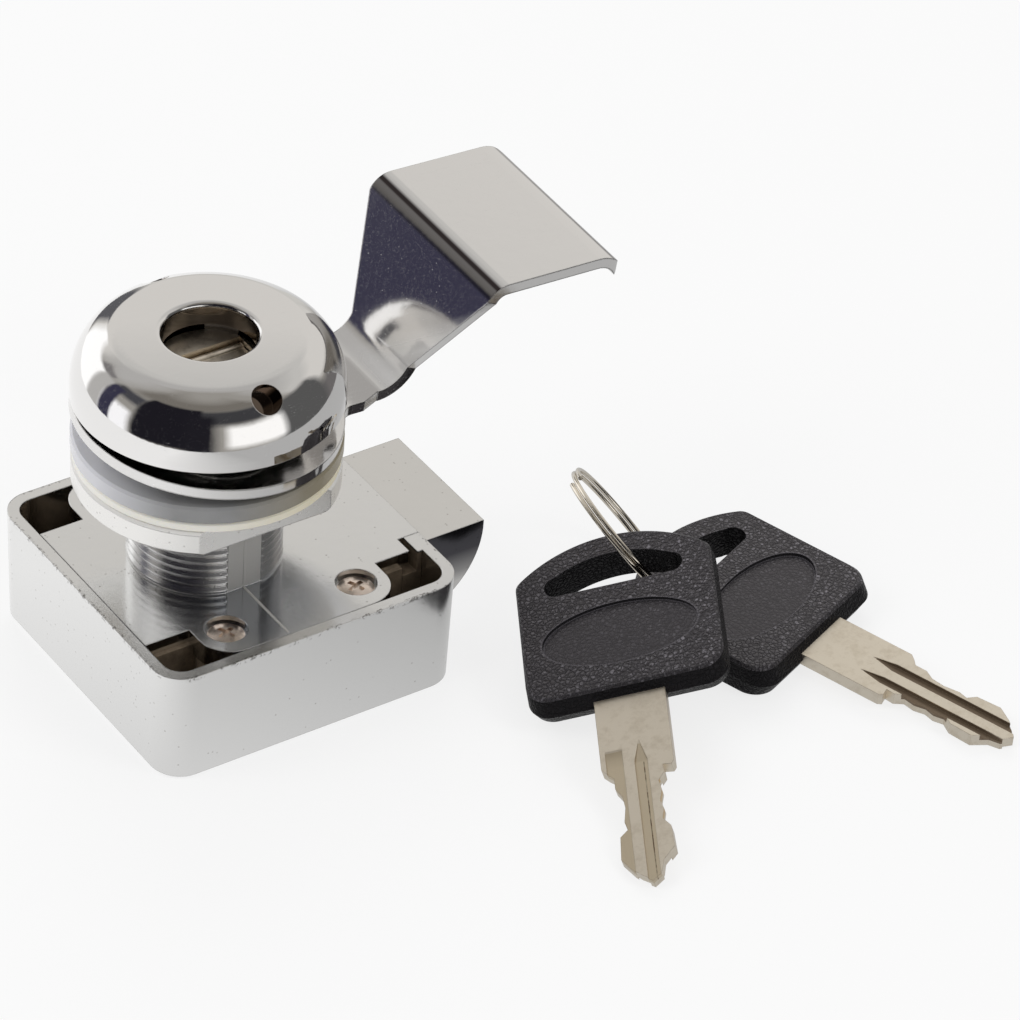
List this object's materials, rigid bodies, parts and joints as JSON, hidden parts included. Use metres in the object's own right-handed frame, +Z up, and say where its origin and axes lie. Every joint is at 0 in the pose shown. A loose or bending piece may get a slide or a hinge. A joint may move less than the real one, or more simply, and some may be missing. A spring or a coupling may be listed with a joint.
{
  "type": "slam cam lock with keys",
  "caption": "Slam latch lock: square cast case with a spring bolt, threaded barrel with nut, washers, finger pull plate and chromed dome cap, and a ring of keys lying beside it.",
  "frame": {"origin": "on the barrel's axis, at the case's front face that meets the door", "axes": "+X the way the bolt points, +Z up the barrel towards the key hole, +Y to the left of the bolt seen from above"},
  "size_m": [0.0946, 0.086, 0.0522],
  "materials": {
    "case_casting": "nickel-plated zinc die casting, satin",
    "plate_casting": "nickel-plated zinc die casting, satin",
    "bolt_casting": "nickel-plated zinc die casting, smooth",
    "plug_casting": "warm nickel-plated zinc die casting",
    "nut_casting": "bright zinc-plated die casting",
    "screw_steel": "plated steel, slightly brown",
    "cam_steel": "plated steel",
    "spring_steel": "bright nickel-plated spring steel",
    "wafer_brass": "stamped brass",
    "shutter_nickel": "warm nickel-plated sheet",
    "thin_washer_plastic": "cream plastic",
    "thick_washer_plastic": "cloudy translucent plastic, greyish lilac",
    "bright_chrome": "bright polished chrome plating",
    "key_plastic": "black plastic with a fine leather grain",
    "key_nickel": "nickel-plated brass, brass bared at the cuts"
  },
  "bodies": {
    "lock_case": {"case_tray": "case_casting", "cover_plate": "plate_casting", "cover_screws": "screw_steel", "bolt_springs": "spring_steel", "clamp_nut": "nut_casting", "thin_washer": "thin_washer_plastic", "thick_washer": "thick_washer_plastic", "pull_plate": "bright_chrome", "dome_cap": "bright_chrome"},
    "plug_set": {"lock_plug": "plug_casting", "wafer_tumblers": "wafer_brass", "wafer_springs": "spring_steel", "drive_cam": "cam_steel", "cam_washer": "screw_steel", "cam_screw": "screw_steel", "shutter_pin": "spring_steel"},
    "shutter": {"dust_shutter": "shutter_nickel"},
    "bolt": {"latch_bolt": "bolt_casting"},
    "ring": {"key_ring": "spring_steel"},
    "key_1": {"key_1_head": "key_plastic", "key_1_blade": "key_nickel"},
    "key_2": {"key_2_head": "key_plastic", "key_2_blade": "key_nickel"}
  },
  "joints": [
    {"name": "plug_turn", "type": "hinge", "parent": "lock_case", "child": "plug_set", "pos_m": [0, 0, 0], "axis": [0, 0, -1], "range_deg": [0, 90]},
    {"name": "bolt_slide", "type": "slide", "parent": "lock_case", "child": "bolt", "axis": [-1, 0, 0], "range_m": [0, 0.0093], "stiffness_N_per_m": 300, "springref_m": -0.008, "deforming": ["bolt_springs"]},
    {"name": "shutter_swing", "type": "hinge", "parent": "plug_set", "child": "shutter", "pos_m": [0, 0.0014, 0.02695], "axis": [1, 0, 0], "range_deg": [0, 88], "stiffness_Nm_per_rad": 0.00002, "springref_deg": -28.65},
    {"name": "ring_lift", "type": "slide", "parent": "lock_case", "child": "ring", "axis": [0, 0, 1], "range_m": [0, 0.03]},
    {"name": "key_1_swing", "type": "hinge", "parent": "ring", "child": "key_1", "pos_m": [0.05105, -0.01676, -0.00658], "axis": [-0.771, 0.1744, -0.6126], "range_deg": [0, 25]},
    {"name": "key_2_swing", "type": "hinge", "parent": "ring", "child": "key_2", "pos_m": [0.05105, -0.01676, -0.00658], "axis": [-0.771, 0.1744, -0.6126], "range_deg": [0, 12]}
  ],
  "couplings": [
    {"joint": "plug_turn", "follows": "bolt_slide", "rad_per_m": 168.9}
  ]
}
